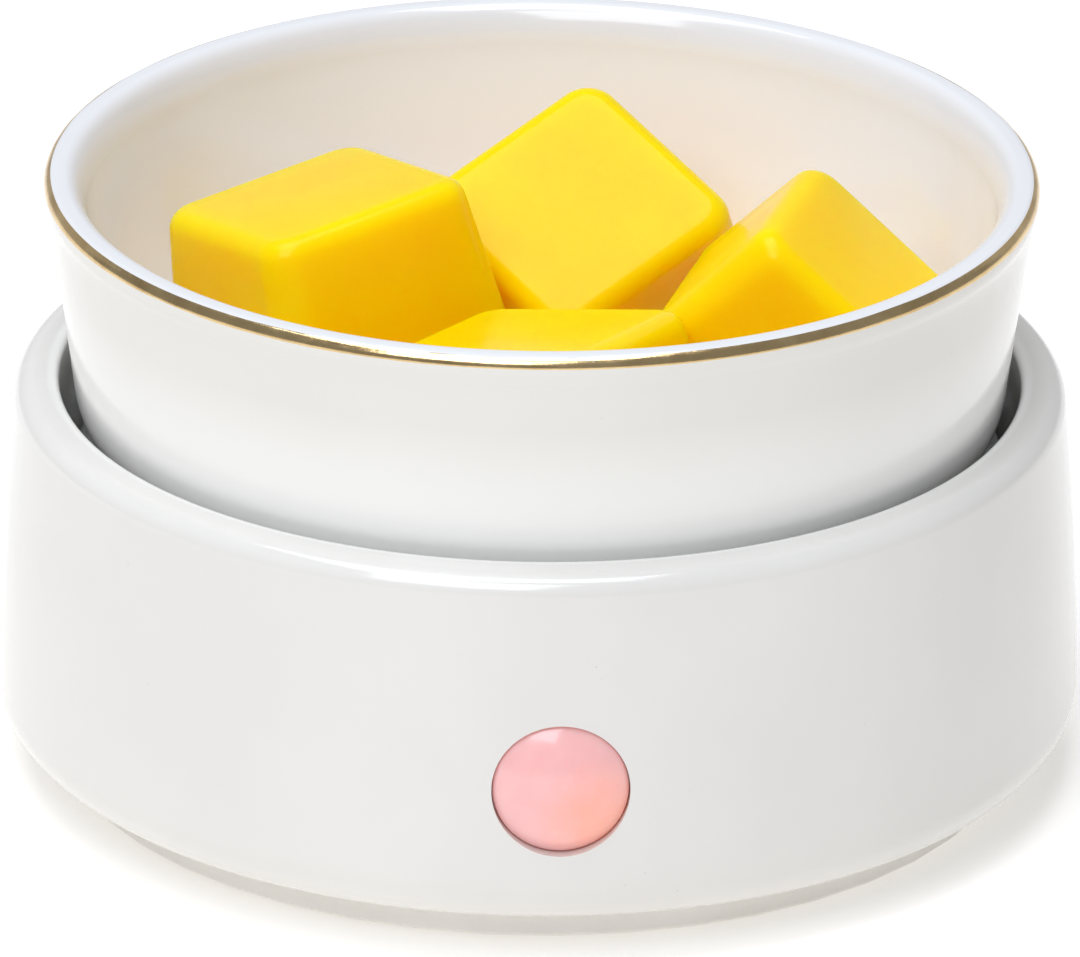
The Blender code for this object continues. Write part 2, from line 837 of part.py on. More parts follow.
lead(
    "lamp_lead_resistor",
    [
        (1.1, -47.1, LENS_Z),
        (2.4, -46.2, 20.4),
        (5.0, -44.6, 18.4),
        (RESISTOR[0] - 4.0, RESISTOR[1], RESISTOR[2]),
    ],
    insulation_white,
    0.6,
    2.0,
)
lead(
    "lamp_lead_neutral",
    [
        (RESISTOR[0] + 4.0, RESISTOR[1], RESISTOR[2]),
        (18.6, -42.6, 17.4),
        (19.6, -34.0, 13.0),
        (16.0, -16.0, 9.4),
        (13.0, 6.0, 8.0),
        (6.6, 20.0, 14.6),
        (3.8, 29.0, 16.4),
        (3.4, BLOCK_Y + 1.6, 13.6),
        (3.4, BLOCK_Y + 1.6, 9.0),
    ],
    insulation_white,
    0.6,
)

# ---------------------------------------------------------------- wax cubes
def cube_mesh(height, side):
    """A square block that tapers to its top: rounded upright corners, softer top and bottom edges."""
    bm = bmesh.new()
    small = side / 2 * MM
    large = small + (CUBE_LARGE - CUBE_SMALL) / 2 * height / CUBE_TALL * MM
    tall = height * MM
    signs = ((-1, -1), (1, -1), (1, 1), (-1, 1))
    top = [bm.verts.new((x * small, y * small, 0)) for x, y in signs]
    low = [bm.verts.new((x * large, y * large, -tall)) for x, y in signs]
    bm.faces.new(top)
    bm.faces.new(low[::-1])
    for i in range(4):
        j = (i + 1) % 4
        bm.faces.new((low[i], low[j], top[j], top[i]))
    upright = [e for e in bm.edges if abs(e.verts[0].co.z - e.verts[1].co.z) > tall / 2]
    bmesh.ops.bevel(
        bm, geom=upright, offset=CUBE_CORNER * MM, segments=3, profile=0.5, affect="EDGES"
    )
    level = [
        e
        for e in bm.edges
        if abs(e.verts[0].co.z - e.verts[1].co.z) < tall / 100
    ]
    bmesh.ops.bevel(
        bm, geom=level, offset=CUBE_EDGE * MM, segments=2, profile=0.5, affect="EDGES"
    )
    return bm


def wax_cube(number, centre, turn, lean, lean_towards, height=CUBE_TALL, side=CUBE_SMALL):
    """A cube by the centre of its small face (mm), its turn about its own height, how far and towards
    which compass direction (degrees from +X) its small face leans, its height and its small face's side."""
    bm = cube_mesh(height, side)
    towards = math.radians(lean_towards)
    axis = Vector((-math.sin(towards), math.cos(towards), 0))
    spin = Matrix.Rotation(math.radians(lean), 4, axis) @ Matrix.Rotation(
        math.radians(turn), 4, "Z"
    )
    bm.transform(at(*centre) @ spin)
    return finish(f"wax_cube_{number}", bm, wax)
wax_cube(1, (-26.0, 5.1, 66.6), 29.5, 11.8, 158.9, 20.4, 27.0)
wax_cube(2, (4.5, 12.8, 62.3), 36.7, 32.1, -99.1, 15.0, 27.0)
wax_cube(3, (-2.0, -27.5, 62.8), -29.2, 12.8, 115.3, 19.0, 26.8)
wax_cube(4, (37.6, -12.5, 63.4), -17.1, 40.0, -14.4, 19.0, 27.0)
wax_cube(5, (10.5, 28.9, 48.1), -11.6, 6.2, -92.7, 7.2, 26.8)
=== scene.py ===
import json
import math

import bmesh
import bpy
from mathutils import Matrix, Vector, noise


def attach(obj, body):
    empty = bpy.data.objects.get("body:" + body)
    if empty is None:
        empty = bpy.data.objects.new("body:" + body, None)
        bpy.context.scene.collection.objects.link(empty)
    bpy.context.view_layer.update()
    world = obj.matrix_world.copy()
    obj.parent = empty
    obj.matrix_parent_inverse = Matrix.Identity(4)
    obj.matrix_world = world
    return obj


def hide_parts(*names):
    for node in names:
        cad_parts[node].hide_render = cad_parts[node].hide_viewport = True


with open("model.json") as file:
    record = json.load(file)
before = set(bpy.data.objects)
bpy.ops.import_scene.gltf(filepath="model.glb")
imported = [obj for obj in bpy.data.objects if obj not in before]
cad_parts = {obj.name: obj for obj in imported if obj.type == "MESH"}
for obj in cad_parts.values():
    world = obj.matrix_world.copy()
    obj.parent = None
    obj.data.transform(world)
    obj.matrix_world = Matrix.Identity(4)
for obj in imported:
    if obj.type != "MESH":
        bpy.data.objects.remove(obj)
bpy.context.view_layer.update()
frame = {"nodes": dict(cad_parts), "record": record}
nodes = frame["nodes"]


scene = bpy.context.scene
MM = 0.001
ROUND = 256  # segments of the large turned pieces


# ---------------------------------------------------------------- mesh helpers
def link(name, bm, *mats, smooth_angle=34):
    bmesh.ops.remove_doubles(bm, verts=bm.verts, dist=2e-7)
    bmesh.ops.recalc_face_normals(bm, faces=bm.faces)
    mesh = bpy.data.meshes.new(name)
    bm.to_mesh(mesh)
    bm.free()
    for mat in mats:
        mesh.materials.append(mat)
    obj = bpy.data.objects.new(name, mesh)
    scene.collection.objects.link(obj)
    mesh.shade_smooth()
    mesh.set_sharp_from_angle(angle=math.radians(smooth_angle))
    return obj


def arc(cx, cz, rx, a0, a1, n, rz=None):
    rz = rx if rz is None else rz
    return [
        (
            cx + rx * math.cos(math.radians(a0 + (a1 - a0) * i / n)),
            cz + rz * math.sin(math.radians(a0 + (a1 - a0) * i / n)),
        )
        for i in range(n + 1)
    ]


def line(a, b, n):
    """Points from a to b without a itself."""
    return [
        (a[0] + (b[0] - a[0]) * i / n, a[1] + (b[1] - a[1]) * i / n)
        for i in range(1, n + 1)
    ]


def turned(profile, segments=ROUND, closed=False, shift=None, paint=None):
    """Spins (r, z) points in mm about Z. shift(i, angle) moves a point along z; paint(i) gives a band's material."""
    bm = bmesh.new()
    rings = []
    for i, (r, z) in enumerate(profile):
        if r < 1e-6:
            rings.append([bm.verts.new((0, 0, z * MM))])
            continue
        ring = []
        for k in range(segments):
            a = 2 * math.pi * k / segments
            dz = shift(i, a) if shift else 0.0
            ring.append(
                bm.verts.new((r * math.cos(a) * MM, r * math.sin(a) * MM, (z + dz) * MM))
            )
        rings.append(ring)
    pairs = list(zip(rings, rings[1:]))
    if closed:
        pairs.append((rings[-1], rings[0]))
    for i, (p, q) in enumerate(pairs):
        for k in range(segments):
            j = (k + 1) % segments
            if len(p) == 1:
                face = bm.faces.new((p[0], q[k], q[j]))
            elif len(q) == 1:
                face = bm.faces.new((p[k], q[0], p[j]))
            else:
                face = bm.faces.new((p[k], q[k], q[j], p[j]))
            face.smooth = True
            if paint:
                face.material_index = paint(i)
    return bm


def at(x, y, z):
    return Matrix.Translation((x * MM, y * MM, z * MM))


def along_y(x, y, z, sign=1):
    return at(x, y, z) @ Matrix.Rotation(math.radians(-90 * sign), 4, "X")


def rod(name, r, z0, z1, matrix, segments=96):
    bm = turned([(0, z1), (r, z1), (r, z0), (0, z0)], segments)
    bm.transform(matrix)
    obj = link(name, bm)
    return obj


def boolean(obj, *tools):
    for tool in tools:
        mod = obj.modifiers.new("cut", "BOOLEAN")
        mod.operation = "DIFFERENCE"
        mod.solver = "EXACT"
        mod.object = tool
    bpy.context.view_layer.update()
    graph = bpy.context.evaluated_depsgraph_get()
    made = bpy.data.meshes.new_from_object(obj.evaluated_get(graph))
    obj.modifiers.clear()
    old = obj.data
    obj.data = made
    bpy.data.meshes.remove(old)
    for tool in tools:
        mesh = tool.data
        bpy.data.objects.remove(tool)
        bpy.data.meshes.remove(mesh)
    return obj


# ---------------------------------------------------------------- material helpers
def srgb(r, g, b):
    def one(c):
        c /= 255
        return c / 12.92 if c <= 0.04045 else ((c + 0.055) / 1.055) ** 2.4

    return one(r), one(g), one(b), 1.0


class Mat:
    """A Principled material with a few short ways to add noise, bump and colour ramps."""

    def __init__(self, name, colour, rough, metal=0.0, **values):
        self.mat = bpy.data.materials.new(name)
        self.mat.use_nodes = True
        self.tree = self.mat.node_tree
        self.bsdf = self.tree.nodes["Principled BSDF"]
        self.bsdf.inputs["Base Color"].default_value = colour
        self.bsdf.inputs["Roughness"].default_value = rough
        self.bsdf.inputs["Metallic"].default_value = metal
        for key, value in values.items():
            self.bsdf.inputs[key.replace("_", " ")].default_value = value
        self.coords = self.new("ShaderNodeTexCoord").outputs["Object"]

    def new(self, kind, **props):
        node = self.tree.nodes.new(kind)
        for key, value in props.items():
            setattr(node, key, value)
        return node

    def join(self, a, b):
        self.tree.links.new(a, b)

    def noise(self, scale, detail=4.0, rough=0.55, stretch=None, distort=0.0):
        node = self.new("ShaderNodeTexNoise")
        node.inputs["Scale"].default_value = scale
        node.inputs["Detail"].default_value = detail
        node.inputs["Roughness"].default_value = rough
        node.inputs["Distortion"].default_value = distort
        if stretch:
            mapping = self.new("ShaderNodeMapping")
            mapping.inputs["Scale"].default_value = stretch
            self.join(self.coords, mapping.inputs["Vector"])
            self.join(mapping.outputs["Vector"], node.inputs["Vector"])
        else:
            self.join(self.coords, node.inputs["Vector"])
        return node.outputs["Fac"]

    def spots(self, scale, low, high):
        """Small spots: 1 in a spot, 0 outside."""
        node = self.new("ShaderNodeTexVoronoi")
        node.inputs["Scale"].default_value = scale
        self.join(self.coords, node.inputs["Vector"])
        return self.range(node.outputs["Distance"], low, high, 1.0, 0.0)

    def range(self, value, a, b, c, d):
        node = self.new("ShaderNodeMapRange")
        node.inputs["From Min"].default_value = a
        node.inputs["From Max"].default_value = b
        node.inputs["To Min"].default_value = c
        node.inputs["To Max"].default_value = d
        self.join(value, node.inputs["Value"])
        return node.outputs["Result"]

    def math(self, op, a, b):
        node = self.new("ShaderNodeMath", operation=op)
        for k, v in enumerate((a, b)):
            if isinstance(v, (int, float)):
                node.inputs[k].default_value = v
            else:
                self.join(v, node.inputs[k])
        return node.outputs["Value"]

    def mix(self, fac, a, b):
        node = self.new("ShaderNodeMix", data_type="RGBA")
        for key, v in (("Factor", fac), ("A", a), ("B", b)):
            socket = [s for s in node.inputs if s.name == key and s.enabled][0]
            if isinstance(v, (tuple, list, float, int)):
                socket.default_value = v
            else:
                self.join(v, socket)
        return [s for s in node.outputs if s.enabled][0]

    def colour(self, out):
        self.join(out, self.bsdf.inputs["Base Color"])
        return self

    def rough(self, out):
        self.join(out, self.bsdf.inputs["Roughness"])
        return self

    def bump(self, out, distance, strength=1.0):
        node = self.new("ShaderNodeBump")
        node.inputs["Distance"].default_value = distance
        node.inputs["Strength"].default_value = strength
        self.join(out, node.inputs["Height"])
        previous = self.bsdf.inputs["Normal"]
        if previous.links:
            self.join(previous.links[0].from_socket, node.inputs["Normal"])
        self.join(node.outputs["Normal"], self.bsdf.inputs["Normal"])
        return self

    def axis(self, letter):
        node = self.new("ShaderNodeSeparateXYZ")
        self.join(self.coords, node.inputs["Vector"])
        return node.outputs[letter]


def glaze(name, colour, warm, rough=0.13, pale=None):
    """Glossy white glaze: faint cloudiness, a few pinholes and specks, soft orange peel.
    pale is ("radius" or "height", all pale, not pale, colour): painted light, the glaze is painted paler in that
    band to lift the shade there."""
    m = Mat(name, colour, rough, Coat_Weight=0.25, Coat_Roughness=0.05, IOR=1.5)
    cloud = m.range(m.noise(34, 3), 0.35, 0.65, 0.0, 1.0)
    base = m.mix(cloud, colour, warm)
    if pale:
        kind, full, none, white = pale
        if kind == "height":
            where = m.axis("Z")
        else:
            x, y = m.axis("X"), m.axis("Y")
            where = m.math("SQRT", m.math("ADD", m.math("MULTIPLY", x, x), m.math("MULTIPLY", y, y)), 0.0)
        # painted light: mixes the glaze towards the paler colour inside the band, in place of light
        base = m.mix(m.range(where, full, none, 1.0, 0.0), base, white)
    speck = m.spots(620, 0.035, 0.06)
    sparse = m.range(m.noise(90, 2), 0.62, 0.66, 0.0, 1.0)
    mark = m.math("MULTIPLY", speck, sparse)
    tint = m.mix(m.math("MULTIPLY", mark, 0.35), base, srgb(176, 166, 150))
    m.colour(tint)
    m.rough(m.range(m.noise(60, 4), 0.3, 0.7, rough - 0.03, rough + 0.05))
    m.bump(m.noise(150, 2, 0.4), 0.00003)
    m.bump(m.math("MULTIPLY", mark, -1.0), 0.00004)
    return m.mat


def brushed(name, colour, rough, stretch, scale=260, dirt=None):
    m = Mat(name, colour, rough, 1.0)
    grain = m.noise(scale, 3, 0.6, stretch)
    darker = tuple(c * 0.82 for c in colour[:3]) + (1.0,)
    tone = m.mix(m.range(grain, 0.3, 0.7, 0.0, 1.0), darker, colour)
    stain = m.range(m.noise(70, 4), 0.5, 0.75, 0.0, 0.45)
    m.colour(m.mix(stain, tone, dirt or darker))
    m.rough(m.range(grain, 0.3, 0.7, rough - 0.07, rough + 0.1))
    m.bump(grain, 0.00002)
    return m.mat


def moulded(name, colour, rough, other=None, grain=900, depth=0.00003, **values):
    m = Mat(name, colour, rough, **values)
    other = other or tuple(c * 0.9 for c in colour[:3]) + (1.0,)
    m.colour(m.mix(m.range(m.noise(55, 4), 0.35, 0.7, 0.0, 1.0), colour, other))
    fine = m.noise(grain, 2, 0.5)
    m.rough(m.range(m.noise(200, 3), 0.3, 0.7, rough - 0.06, rough + 0.07))
    m.bump(fine, depth)
    return m.mat


def wire(name, colour):
    m = Mat(name, colour, 0.42, Coat_Weight=0.1)
    pale = tuple(min(1, c * 1.25 + 0.01) for c in colour[:3]) + (1.0,)
    m.colour(m.mix(m.range(m.noise(240, 3), 0.4, 0.7, 0.0, 1.0), colour, pale))
    m.bump(m.noise(700, 2), 0.00002)
    return m.mat


def wax_material():
    """Poured scented wax: cloudy, slightly see-through, with a thin satin skin and small frost blooms."""
    m = Mat(
        "wax",
        srgb(252, 203, 0),
        0.3,
        Subsurface_Weight=1.0,
        Subsurface_Radius=(1.0, 0.5, 0.04),
        Subsurface_Scale=0.013,
        IOR=1.4,
        Specular_IOR_Level=0.17,
    )
    cloud = m.range(m.noise(60, 3, 0.5, distort=0.6), 0.3, 0.7, 0.0, 1.0)
    body = m.mix(cloud, srgb(255, 200, 0), srgb(255, 208, 0))
    # painted shade: the wax is painted a deeper orange below 60 mm, towards the dish floor, where it lies in shade
    body = m.mix(m.range(m.axis("Z"), 0.044, 0.060, 0.6, 0.0), body, srgb(255, 182, 0))
    bloom = m.range(m.noise(330, 5, 0.7), 0.55, 0.8, 0.0, 0.2)
    m.colour(m.mix(bloom, body, srgb(255, 214, 30)))
    m.rough(m.range(m.noise(90, 3), 0.3, 0.7, 0.17, 0.27))
    m.bump(m.noise(85, 2, 0.4), 0.00012)
    m.bump(m.noise(420, 2, 0.4), 0.000006)
    return m.mat


def lens_material():
    """Frosted pink plastic lit from behind, warmer where the small lamp sits."""
    m = Mat(
        "lens",
        srgb(238, 184, 183),
        0.22,
        Subsurface_Weight=0.6,
        Subsurface_Radius=(1.0, 0.45, 0.35),
        Subsurface_Scale=0.003,
        Coat_Weight=0.5,
        Coat_Roughness=0.08,
    )
    where = m.new("ShaderNodeVectorMath", operation="DISTANCE")
    m.join(m.coords, where.inputs[0])
    where.inputs[1].default_value = (0.0042, -0.0625, 0.0185)
    glow = m.range(where.outputs["Value"], 0.0015, 0.0075, 1.0, 0.0)
    tone = m.mix(glow, srgb(236, 182, 180), srgb(248, 174, 154))
    swirl = m.range(m.noise(420, 3), 0.35, 0.7, 0.0, 0.35)
    m.colour(m.mix(swirl, tone, srgb(241, 196, 192)))
    m.join(
        m.mix(glow, srgb(236, 150, 150), srgb(255, 128, 84)),
        m.bsdf.inputs["Emission Color"],
    )
    m.bsdf.inputs["Emission Strength"].default_value = 0.14
    m.bump(m.noise(1400, 2), 0.00001)
    return m.mat


def gold_material():
    """Bright gold lustre, brushed on by hand, so its shine varies a little round the lip."""
    m = Mat("gold_line", (0.72, 0.50, 0.24, 1), 0.16, 1.0)
    wear = m.range(m.noise(220, 4), 0.35, 0.7, 0.0, 1.0)
    m.colour(m.mix(wear, (0.78, 0.58, 0.30, 1), (0.62, 0.43, 0.20, 1)))
    m.rough(m.range(m.noise(500, 3, 0.6, (1, 1, 4)), 0.3, 0.7, 0.1, 0.24))
    m.bump(m.noise(800, 3), 0.00002)
    return m.mat


GLAZE = srgb(230, 227, 221)
mats = {
    # painted light: inside 55.3 mm radius (the opening's inner wall and below) the base glaze is painted near white
    # to lift the shade in the gap round the dish
    "glazed_base": glaze("base_glaze", GLAZE, srgb(226, 223, 217), pale=("radius", 0.0553, 0.0568, srgb(254, 253, 249))),
    # painted light: the dish's outside is painted paler below 62 mm and near white below 46 mm, to lift the shade
    # where it sinks into the base
    "glazed_dish": glaze("dish_glaze", srgb(231, 228, 221), srgb(229, 226, 218), pale=("height", 0.046, 0.062, srgb(254, 253, 249))),
    # painted light: the dish's inside below 67.2 mm is painted a cool near white to lift the shade inside the dish;
    # only the lip's top keeps the grey glaze colour
    "dish_inside": glaze("dish_inside_glaze", srgb(226, 226, 226), srgb(223, 223, 223), pale=("height", 0.0672, 0.0702, srgb(247, 251, 255))),
    "gold": gold_material(),
    "yellow_wax": wax_material(),
    "lens_pink": lens_material(),
    "cover_plastic": moulded("cover", srgb(246, 243, 236), 0.5, srgb(240, 236, 228), 1500, 0.00005),
    "foot_rubber": moulded("foot", srgb(224, 221, 214), 0.8, srgb(212, 208, 200), 700, 0.00006),
    "gasket_silicone": moulded("gasket", srgb(226, 222, 212), 0.6, srgb(214, 208, 196), 500, 0.00004),
    "plate_aluminium": brushed("plate", (0.80, 0.80, 0.81, 1), 0.3, (1, 14, 1)),
    "reflector_aluminium": brushed("reflector", (0.86, 0.86, 0.87, 1), 0.2, (10, 1, 1)),
    "zinc_steel": brushed("zinc", (0.62, 0.62, 0.60, 1), 0.34, (1, 1, 8), 500, (0.50, 0.48, 0.40, 1)),
    "mica_sheet": moulded("mica", srgb(176, 158, 120), 0.4, srgb(148, 128, 92), 180, 0.00004),
    "heater_foil": brushed("foil", (0.42, 0.36, 0.33, 1), 0.45, (3, 3, 1), 320, (0.24, 0.17, 0.13, 1)),
    "white_nylon": moulded("nylon", srgb(226, 224, 218), 0.38, srgb(217, 214, 206), 1200, 0.00002, Subsurface_Weight=0.15, Subsurface_Scale=0.001),
    "lamp_glass": moulded("lamp", srgb(240, 168, 132), 0.08, srgb(250, 190, 150), 600, 0.00001, Transmission_Weight=0.6, IOR=1.5),
    "resistor_body": moulded("resistor", srgb(206, 184, 144), 0.45, srgb(190, 166, 126), 800, 0.00003),
    "fuse_body": brushed("fuse", (0.74, 0.72, 0.68, 1), 0.3, (8, 1, 1), 500),
    "lead_brown": wire("wire_brown", srgb(104, 62, 38)),
    "lead_blue": wire("wire_blue", srgb(40, 84, 158)),
    "lead_white": wire("wire_white", srgb(226, 223, 215)),
}


# ---------------------------------------------------------------- ceramic base
BASE_RADIUS = 62.6
BASE_BOTTOM = 4.6
BASE_FILLET = 5.6
BASE_LEAN = 2.15
SHOULDER_Z = 43.9
SHOULDER_ROUND = 2.5
BASE_TOP = 46.8
OPENING_RADIUS = 55.2
LEDGE_TOP = 32.0
LEDGE_BOTTOM = 29.0
LEDGE_RADIUS = 47.5
WALL = 5.2
COVER_RADIUS = 55.4
LENS_Z = 21.6
LENS_RADIUS = 7.6
LENS_APEX = 63.9
GLAND_Z = 16.6


def base_profile():
    side_bottom = BASE_BOTTOM + BASE_FILLET
    points = arc(BASE_RADIUS - BASE_FILLET, side_bottom, BASE_FILLET, -90, 0, 18)
    steps = 30
    for i in range(1, steps + 1):
        share = i / steps
        points.append(
            (
                BASE_RADIUS - BASE_LEAN * share**1.5,
                side_bottom + (SHOULDER_Z - side_bottom) * share,
            )
        )
    points += arc(
        BASE_RADIUS - BASE_LEAN - SHOULDER_ROUND, SHOULDER_Z, SHOULDER_ROUND, 6, 86, 14
    )
    points += line(points[-1], (OPENING_RADIUS + 1.4, BASE_TOP - 0.02), 4)
    points += arc(OPENING_RADIUS + 1.1, BASE_TOP - 1.1, 1.1, 90, 180, 10)
    points += line(points[-1], (OPENING_RADIUS, LEDGE_TOP + 0.8), 8)
    points += arc(OPENING_RADIUS - 0.8, LEDGE_TOP + 0.8, 0.8, 0, -90, 5)[1:]
    inner = BASE_RADIUS - WALL
    points += line(points[-1], (LEDGE_RADIUS + 0.4, LEDGE_TOP), 3)
    points += arc(LEDGE_RADIUS + 0.4, LEDGE_TOP - 0.4, 0.4, 90, 180, 4)[1:]
    points += [(LEDGE_RADIUS, LEDGE_BOTTOM)]
    points += line(points[-1], (inner - 1.4, LEDGE_BOTTOM), 3)
    points += arc(inner - 1.4, LEDGE_BOTTOM - 1.4, 1.4, 90, 0, 6)[1:]
    points += line(points[-1], (inner, 13.2), 5)
    points += [
        (inner - 0.4, 11.4),
        (inner - 1.4, 9.8),
        (inner - 3.2, 8.0),
        (COVER_RADIUS - 2.9, 7.9),
        (COVER_RADIUS - 2.9, BASE_BOTTOM),
    ]
    points += line(points[-1], (BASE_RADIUS - BASE_FILLET, BASE_BOTTOM), 2)[:-1]
    return points


base = link("base_shell", turned(base_profile(), closed=True), mats["glazed_base"])
boolean(
    base,
    rod("t1", LENS_RADIUS + 0.14, 59.4, 66.0, along_y(0, 0, LENS_Z, -1), 128),
    rod("t2", 4.7, 50.0, 66.0, along_y(0, 0, LENS_Z, -1), 64),
    rod("t3", 5.5, 50.0, 68.0, along_y(0, 0, GLAND_Z, 1), 64),
)
base.data.shade_smooth()
base.data.set_sharp_from_angle(angle=math.radians(34))
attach(base, "base")
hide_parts("ceramic_base")

# ---------------------------------------------------------------- dish with its gold line
DISH_BOTTOM = 35.1
DISH_FLOOR = 39.1
DISH_CORNER = 12.5
DISH_LEAN = math.radians(7.2)
RIM_TOP = 71.3
RIM_RADIUS = 56.8
DISH_INNER_CORNER = 9.0


def dish_profile():
    lean = math.tan(DISH_LEAN)
    lean_deg = math.degrees(DISH_LEAN)
    side_top = 67.7
    side_r = RIM_RADIUS - 0.55
    centre_z = DISH_BOTTOM + DISH_CORNER
    arc_end_z = centre_z - DISH_CORNER * math.sin(DISH_LEAN)
    arc_end_r = side_r - (side_top - arc_end_z) * lean
    centre_r = arc_end_r - DISH_CORNER * math.cos(DISH_LEAN)
    outside = [(0.0, DISH_BOTTOM)] + line((0, DISH_BOTTOM), (centre_r, DISH_BOTTOM), 6)[:-1]
    outside += arc(centre_r, centre_z, DISH_CORNER, -90, -lean_deg, 22)
    outside += line(outside[-1], (side_r, side_top), 12)
    outside += line(outside[-1], (RIM_RADIUS - 0.12, side_top + 1.2), 3)
    outside += [(RIM_RADIUS - 0.05, 69.4)]
    lower = len(outside)
    outside += [(RIM_RADIUS, RIM_TOP - 1.25)]
    outside += arc(RIM_RADIUS - 1.3, RIM_TOP - 1.3, 1.3, 10, 62, 7)
    upper = len(outside)
    outside += arc(RIM_RADIUS - 1.3, RIM_TOP - 1.3, 1.3, 64, 90, 3)
    wall_z = RIM_TOP - 4.8
    wall_r = RIM_RADIUS - 4.8
    inside = arc(RIM_RADIUS - 2.2, wall_z, 2.6, 90, 180, 18, 4.8)
    floor_centre = DISH_FLOOR + DISH_INNER_CORNER
    low_r = wall_r - (wall_z - floor_centre) * lean
    corner = arc(
        low_r - DISH_INNER_CORNER, floor_centre, DISH_INNER_CORNER, -lean_deg, -90, 20
    )
    inside += line(inside[-1], corner[0], 10)[:-1]
    inside += corner
    inside += line(inside[-1], (0.0, DISH_FLOOR), 6)
    return outside + inside, lower, upper


profile, gold_low, gold_high = dish_profile()


def brush_wobble(i, a):
    """The gold line's two edges wander a few hundredths of a millimetre, as a brushed line does."""
    if i not in (gold_low, gold_high):
        return 0.0
    seed = 7.0 if i == gold_low else 31.0
    return 0.09 * noise.noise(Vector((6 * math.cos(a) + seed, 6 * math.sin(a), 0.3))) - (
        0.03 if i == gold_high else 0.0
    )


dish = link(
    "dish_shell",
    turned(
        profile,
        320,
        shift=brush_wobble,
        paint=lambda i: 1 if gold_low <= i < gold_high else (2 if i >= gold_high else 0),
    ),
    mats["glazed_dish"],
    mats["gold"],
    mats["dish_inside"],
)
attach(dish, "dish")
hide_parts("dish")

# ---------------------------------------------------------------- indicator lens
edge = 61.3
rise = LENS_APEX - edge
curve = (LENS_RADIUS**2 + rise**2) / (2 * rise)
half = math.degrees(math.asin((LENS_RADIUS - 0.25) / curve))
dome = arc(0, LENS_APEX - curve, curve, 90, 90 - half, 20)
dome[0] = (0, LENS_APEX)
dome += [(LENS_RADIUS - 0.05, dome[-1][1] - 0.25), (LENS_RADIUS, dome[-1][1] - 0.6)]
dome += [
    (LENS_RADIUS, 60.0),
    (LENS_RADIUS - 0.3, 59.7),
    (4.3, 59.7),
    (4.3, 53.4),
    (2.9, 53.4),
    (2.9, 59.6),
    (2.6, 60.3),
    (2.0, 60.6),
    (1.0, 60.8),
    (0, 60.9),
]
bm = turned(dome, 128)
bm.transform(along_y(0, 0, LENS_Z, -1))
lens = link("lens_dome", bm, mats["lens_pink"], smooth_angle=50)
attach(lens, "base")
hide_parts("indicator_lens")

# ---------------------------------------------------------------- wax cubes
CUBE_SMALL = 27.0
CUBE_LARGE = 31.0
CUBE_TALL = 20.5
CUBE_CORNER = 4.0
CUBE_EDGE = 2.2
CUBES = {
    1: ((-26.0, 5.1, 66.6), 29.5, 11.8, 158.9, 20.4, 27.0),
    2: ((4.5, 12.8, 62.3), 36.7, 32.1, -99.1, 15.0, 27.0),
    3: ((-2.0, -27.5, 62.8), -29.2, 12.8, 115.3, 19.0, 26.8),
    4: ((37.6, -12.5, 63.4), -17.1, 40.0, -14.4, 19.0, 27.0),
    5: ((10.5, 28.9, 48.1), -11.6, 6.2, -92.7, 7.2, 26.8),
}


def wax_cube(number, centre, turn, lean, lean_towards, height, side):
    bm = bmesh.new()
    small = side / 2 * MM
    large = small + (CUBE_LARGE - CUBE_SMALL) / 2 * height / CUBE_TALL * MM
    tall = height * MM
    signs = ((-1, -1), (1, -1), (1, 1), (-1, 1))
    top = [bm.verts.new((x * small, y * small, 0)) for x, y in signs]
    low = [bm.verts.new((x * large, y * large, -tall)) for x, y in signs]
    bm.faces.new(top)
    bm.faces.new(low[::-1])
    for i in range(4):
        j = (i + 1) % 4
        bm.faces.new((low[i], low[j], top[j], top[i]))
    upright = [e for e in bm.edges if abs(e.verts[0].co.z - e.verts[1].co.z) > tall / 2]
    bmesh.ops.bevel(
        bm, geom=upright, offset=CUBE_CORNER * MM, segments=12, profile=0.5, affect="EDGES"
    )
    level = [e for e in bm.edges if abs(e.verts[0].co.z - e.verts[1].co.z) < tall / 100]
    bmesh.ops.bevel(
        bm, geom=level, offset=CUBE_EDGE * MM, segments=8, profile=0.5, affect="EDGES"
    )
    bm.normal_update()
    for v in bm.verts:
        p = v.co * 60 + Vector((number * 7.3, 0, 0))
        v.co -= v.normal * (0.03 + 0.03 * noise.noise(p)) * MM
    towards = math.radians(lean_towards)
    axis = Vector((-math.sin(towards), math.cos(towards), 0))
    spin = Matrix.Rotation(math.radians(lean), 4, axis) @ Matrix.Rotation(
        math.radians(turn), 4, "Z"
    )
    bm.transform(at(*centre) @ spin)
    obj = link(f"wax_block_{number}", bm, mats["yellow_wax"], smooth_angle=40)
    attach(obj, "dish" if number == 5 else f"wax_cube_{number}")
    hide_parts(f"wax_cube_{number}")
    return obj


for number, place in CUBES.items():
    if f"wax_cube_{number}" in nodes:
        wax_cube(number, *place)

# ---------------------------------------------------------------- the other CAD pieces
slots = {s["node"]: s["material_slot"] for s in frame["record"]["subparts"]}
for name, obj in nodes.items():
    mat = mats.get(slots.get(name))
    if mat is not None:
        obj.data.materials.clear()
        obj.data.materials.append(mat)

# ---------------------------------------------------------------- floor, light and camera
floor_mat = Mat("floor", srgb(222, 219, 214), 0.9)
floor_mat.bsdf.inputs["Specular IOR Level"].default_value = 0.1
floor_mat.bsdf.inputs["Emission Color"].default_value = (1, 1, 1, 1)
floor_mat.bsdf.inputs["Emission Strength"].default_value = 0.38
bm = bmesh.new()
size = 6.0
bm.faces.new([bm.verts.new((x * size, y * size, 0)) for x, y in ((-1, -1), (1, -1), (1, 1), (-1, 1))])
floor = link("floor", bm, floor_mat.mat)

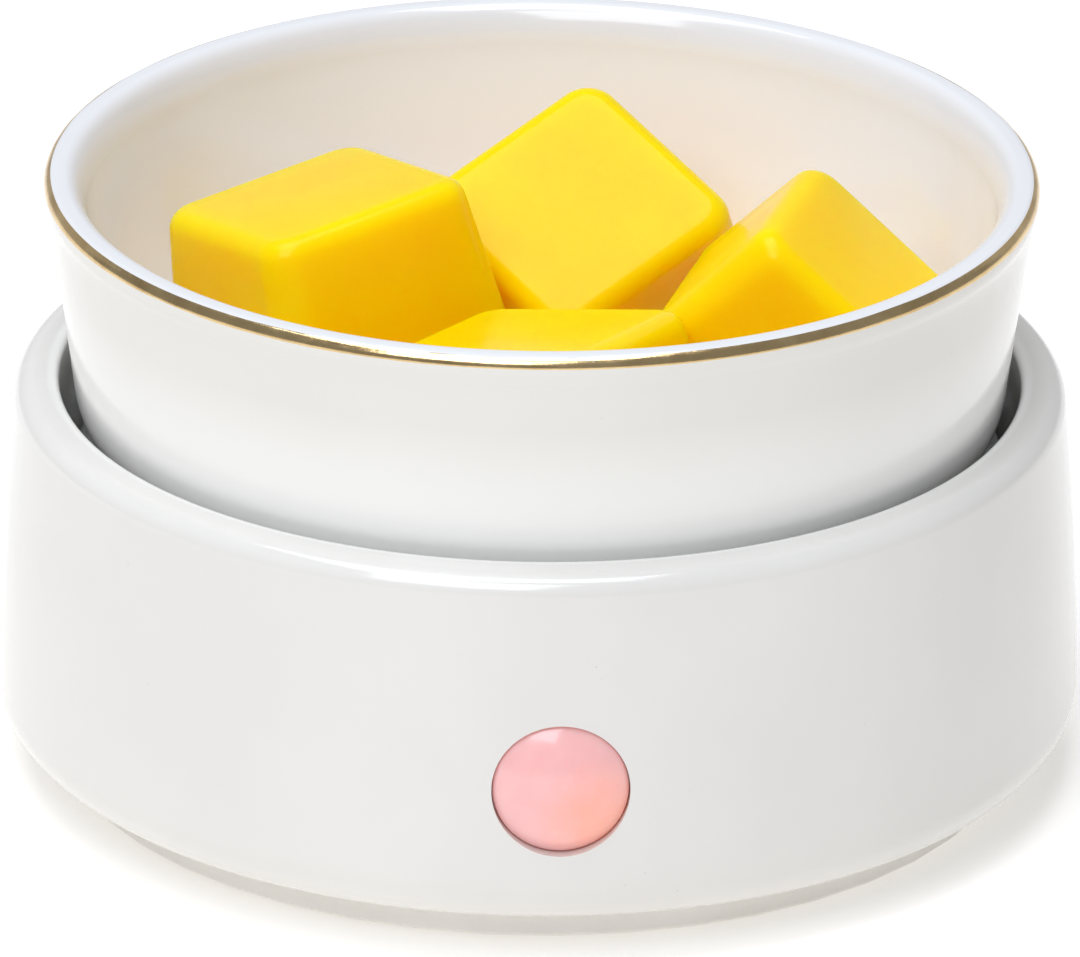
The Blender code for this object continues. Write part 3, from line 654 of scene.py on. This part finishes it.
paper = Mat("paper", srgb(190, 190, 190), 0.9)
paper.bsdf.inputs["Specular IOR Level"].default_value = 0.1
paper.bsdf.inputs["Emission Color"].default_value = (1, 1, 1, 1)
paper.bsdf.inputs["Emission Strength"].default_value = 0.26
bm = bmesh.new()
bm.faces.new(
    [bm.verts.new((x * 8.6, 5.6, z)) for x, z in ((-1, 0.002), (1, 0.002), (1, 5.3), (-1, 5.3))]
)
backdrop = link("backdrop", bm, paper.mat)

world = bpy.data.worlds.new("studio")
scene.world = world
world.use_nodes = True
background = world.node_tree.nodes["Background"]
background.inputs["Color"].default_value = (0.95, 0.99, 1.07, 1)
background.inputs["Strength"].default_value = 0.31


def area(name, place, aim, size_x, size_y, power, colour=(1, 1, 1)):
    light = bpy.data.lights.new(name, "AREA")
    light.shape = "RECTANGLE"
    light.size, light.size_y = size_x, size_y
    light.energy = power
    light.color = colour
    obj = bpy.data.objects.new(name, light)
    scene.collection.objects.link(obj)
    obj.location = place
    obj.rotation_euler = (Vector(aim) - Vector(place)).to_track_quat("-Z", "Y").to_euler()
    return obj


area("key", (-0.36, -0.88, 1.12), (0, 0, 0.04), 0.8, 0.8, 8.6, (0.95, 0.985, 1.06))
area("top", (-0.14, 0.0, 1.3), (0, 0, 0.05), 0.9, 0.9, 11.5, (0.95, 0.985, 1.06))

scene.view_settings.view_transform = "Standard"
scene.view_settings.look = "None"
scene.view_settings.exposure = 0.0
scene.view_settings.gamma = 1.0

cam_data = bpy.data.cameras.new("camera")
cam_data.sensor_fit = "HORIZONTAL"
cam_data.sensor_width = 36.0
cam_data.lens = 12245.6 / 1080 * 36.0
cam_data.shift_x = 1.046 / 1080
cam_data.clip_start = 0.05
cam_data.clip_end = 20.0
camera = bpy.data.objects.new("camera", cam_data)
scene.collection.objects.link(camera)
turn = math.radians(-2.6)
distance = 1.300
elevation = math.radians(22.94)
aim = Vector((0, 0, 0.032479 + 0.0006))
camera.location = (
    distance * math.sin(turn),
    -distance * math.cos(turn),
    aim.z + distance * math.tan(elevation),
)
look = (aim - camera.location).to_track_quat("-Z", "Y").to_matrix().to_4x4()
camera.matrix_world = (
    Matrix.Translation(camera.location) @ look @ Matrix.Rotation(math.radians(0.6), 4, "Z")
)
scene.camera = camera
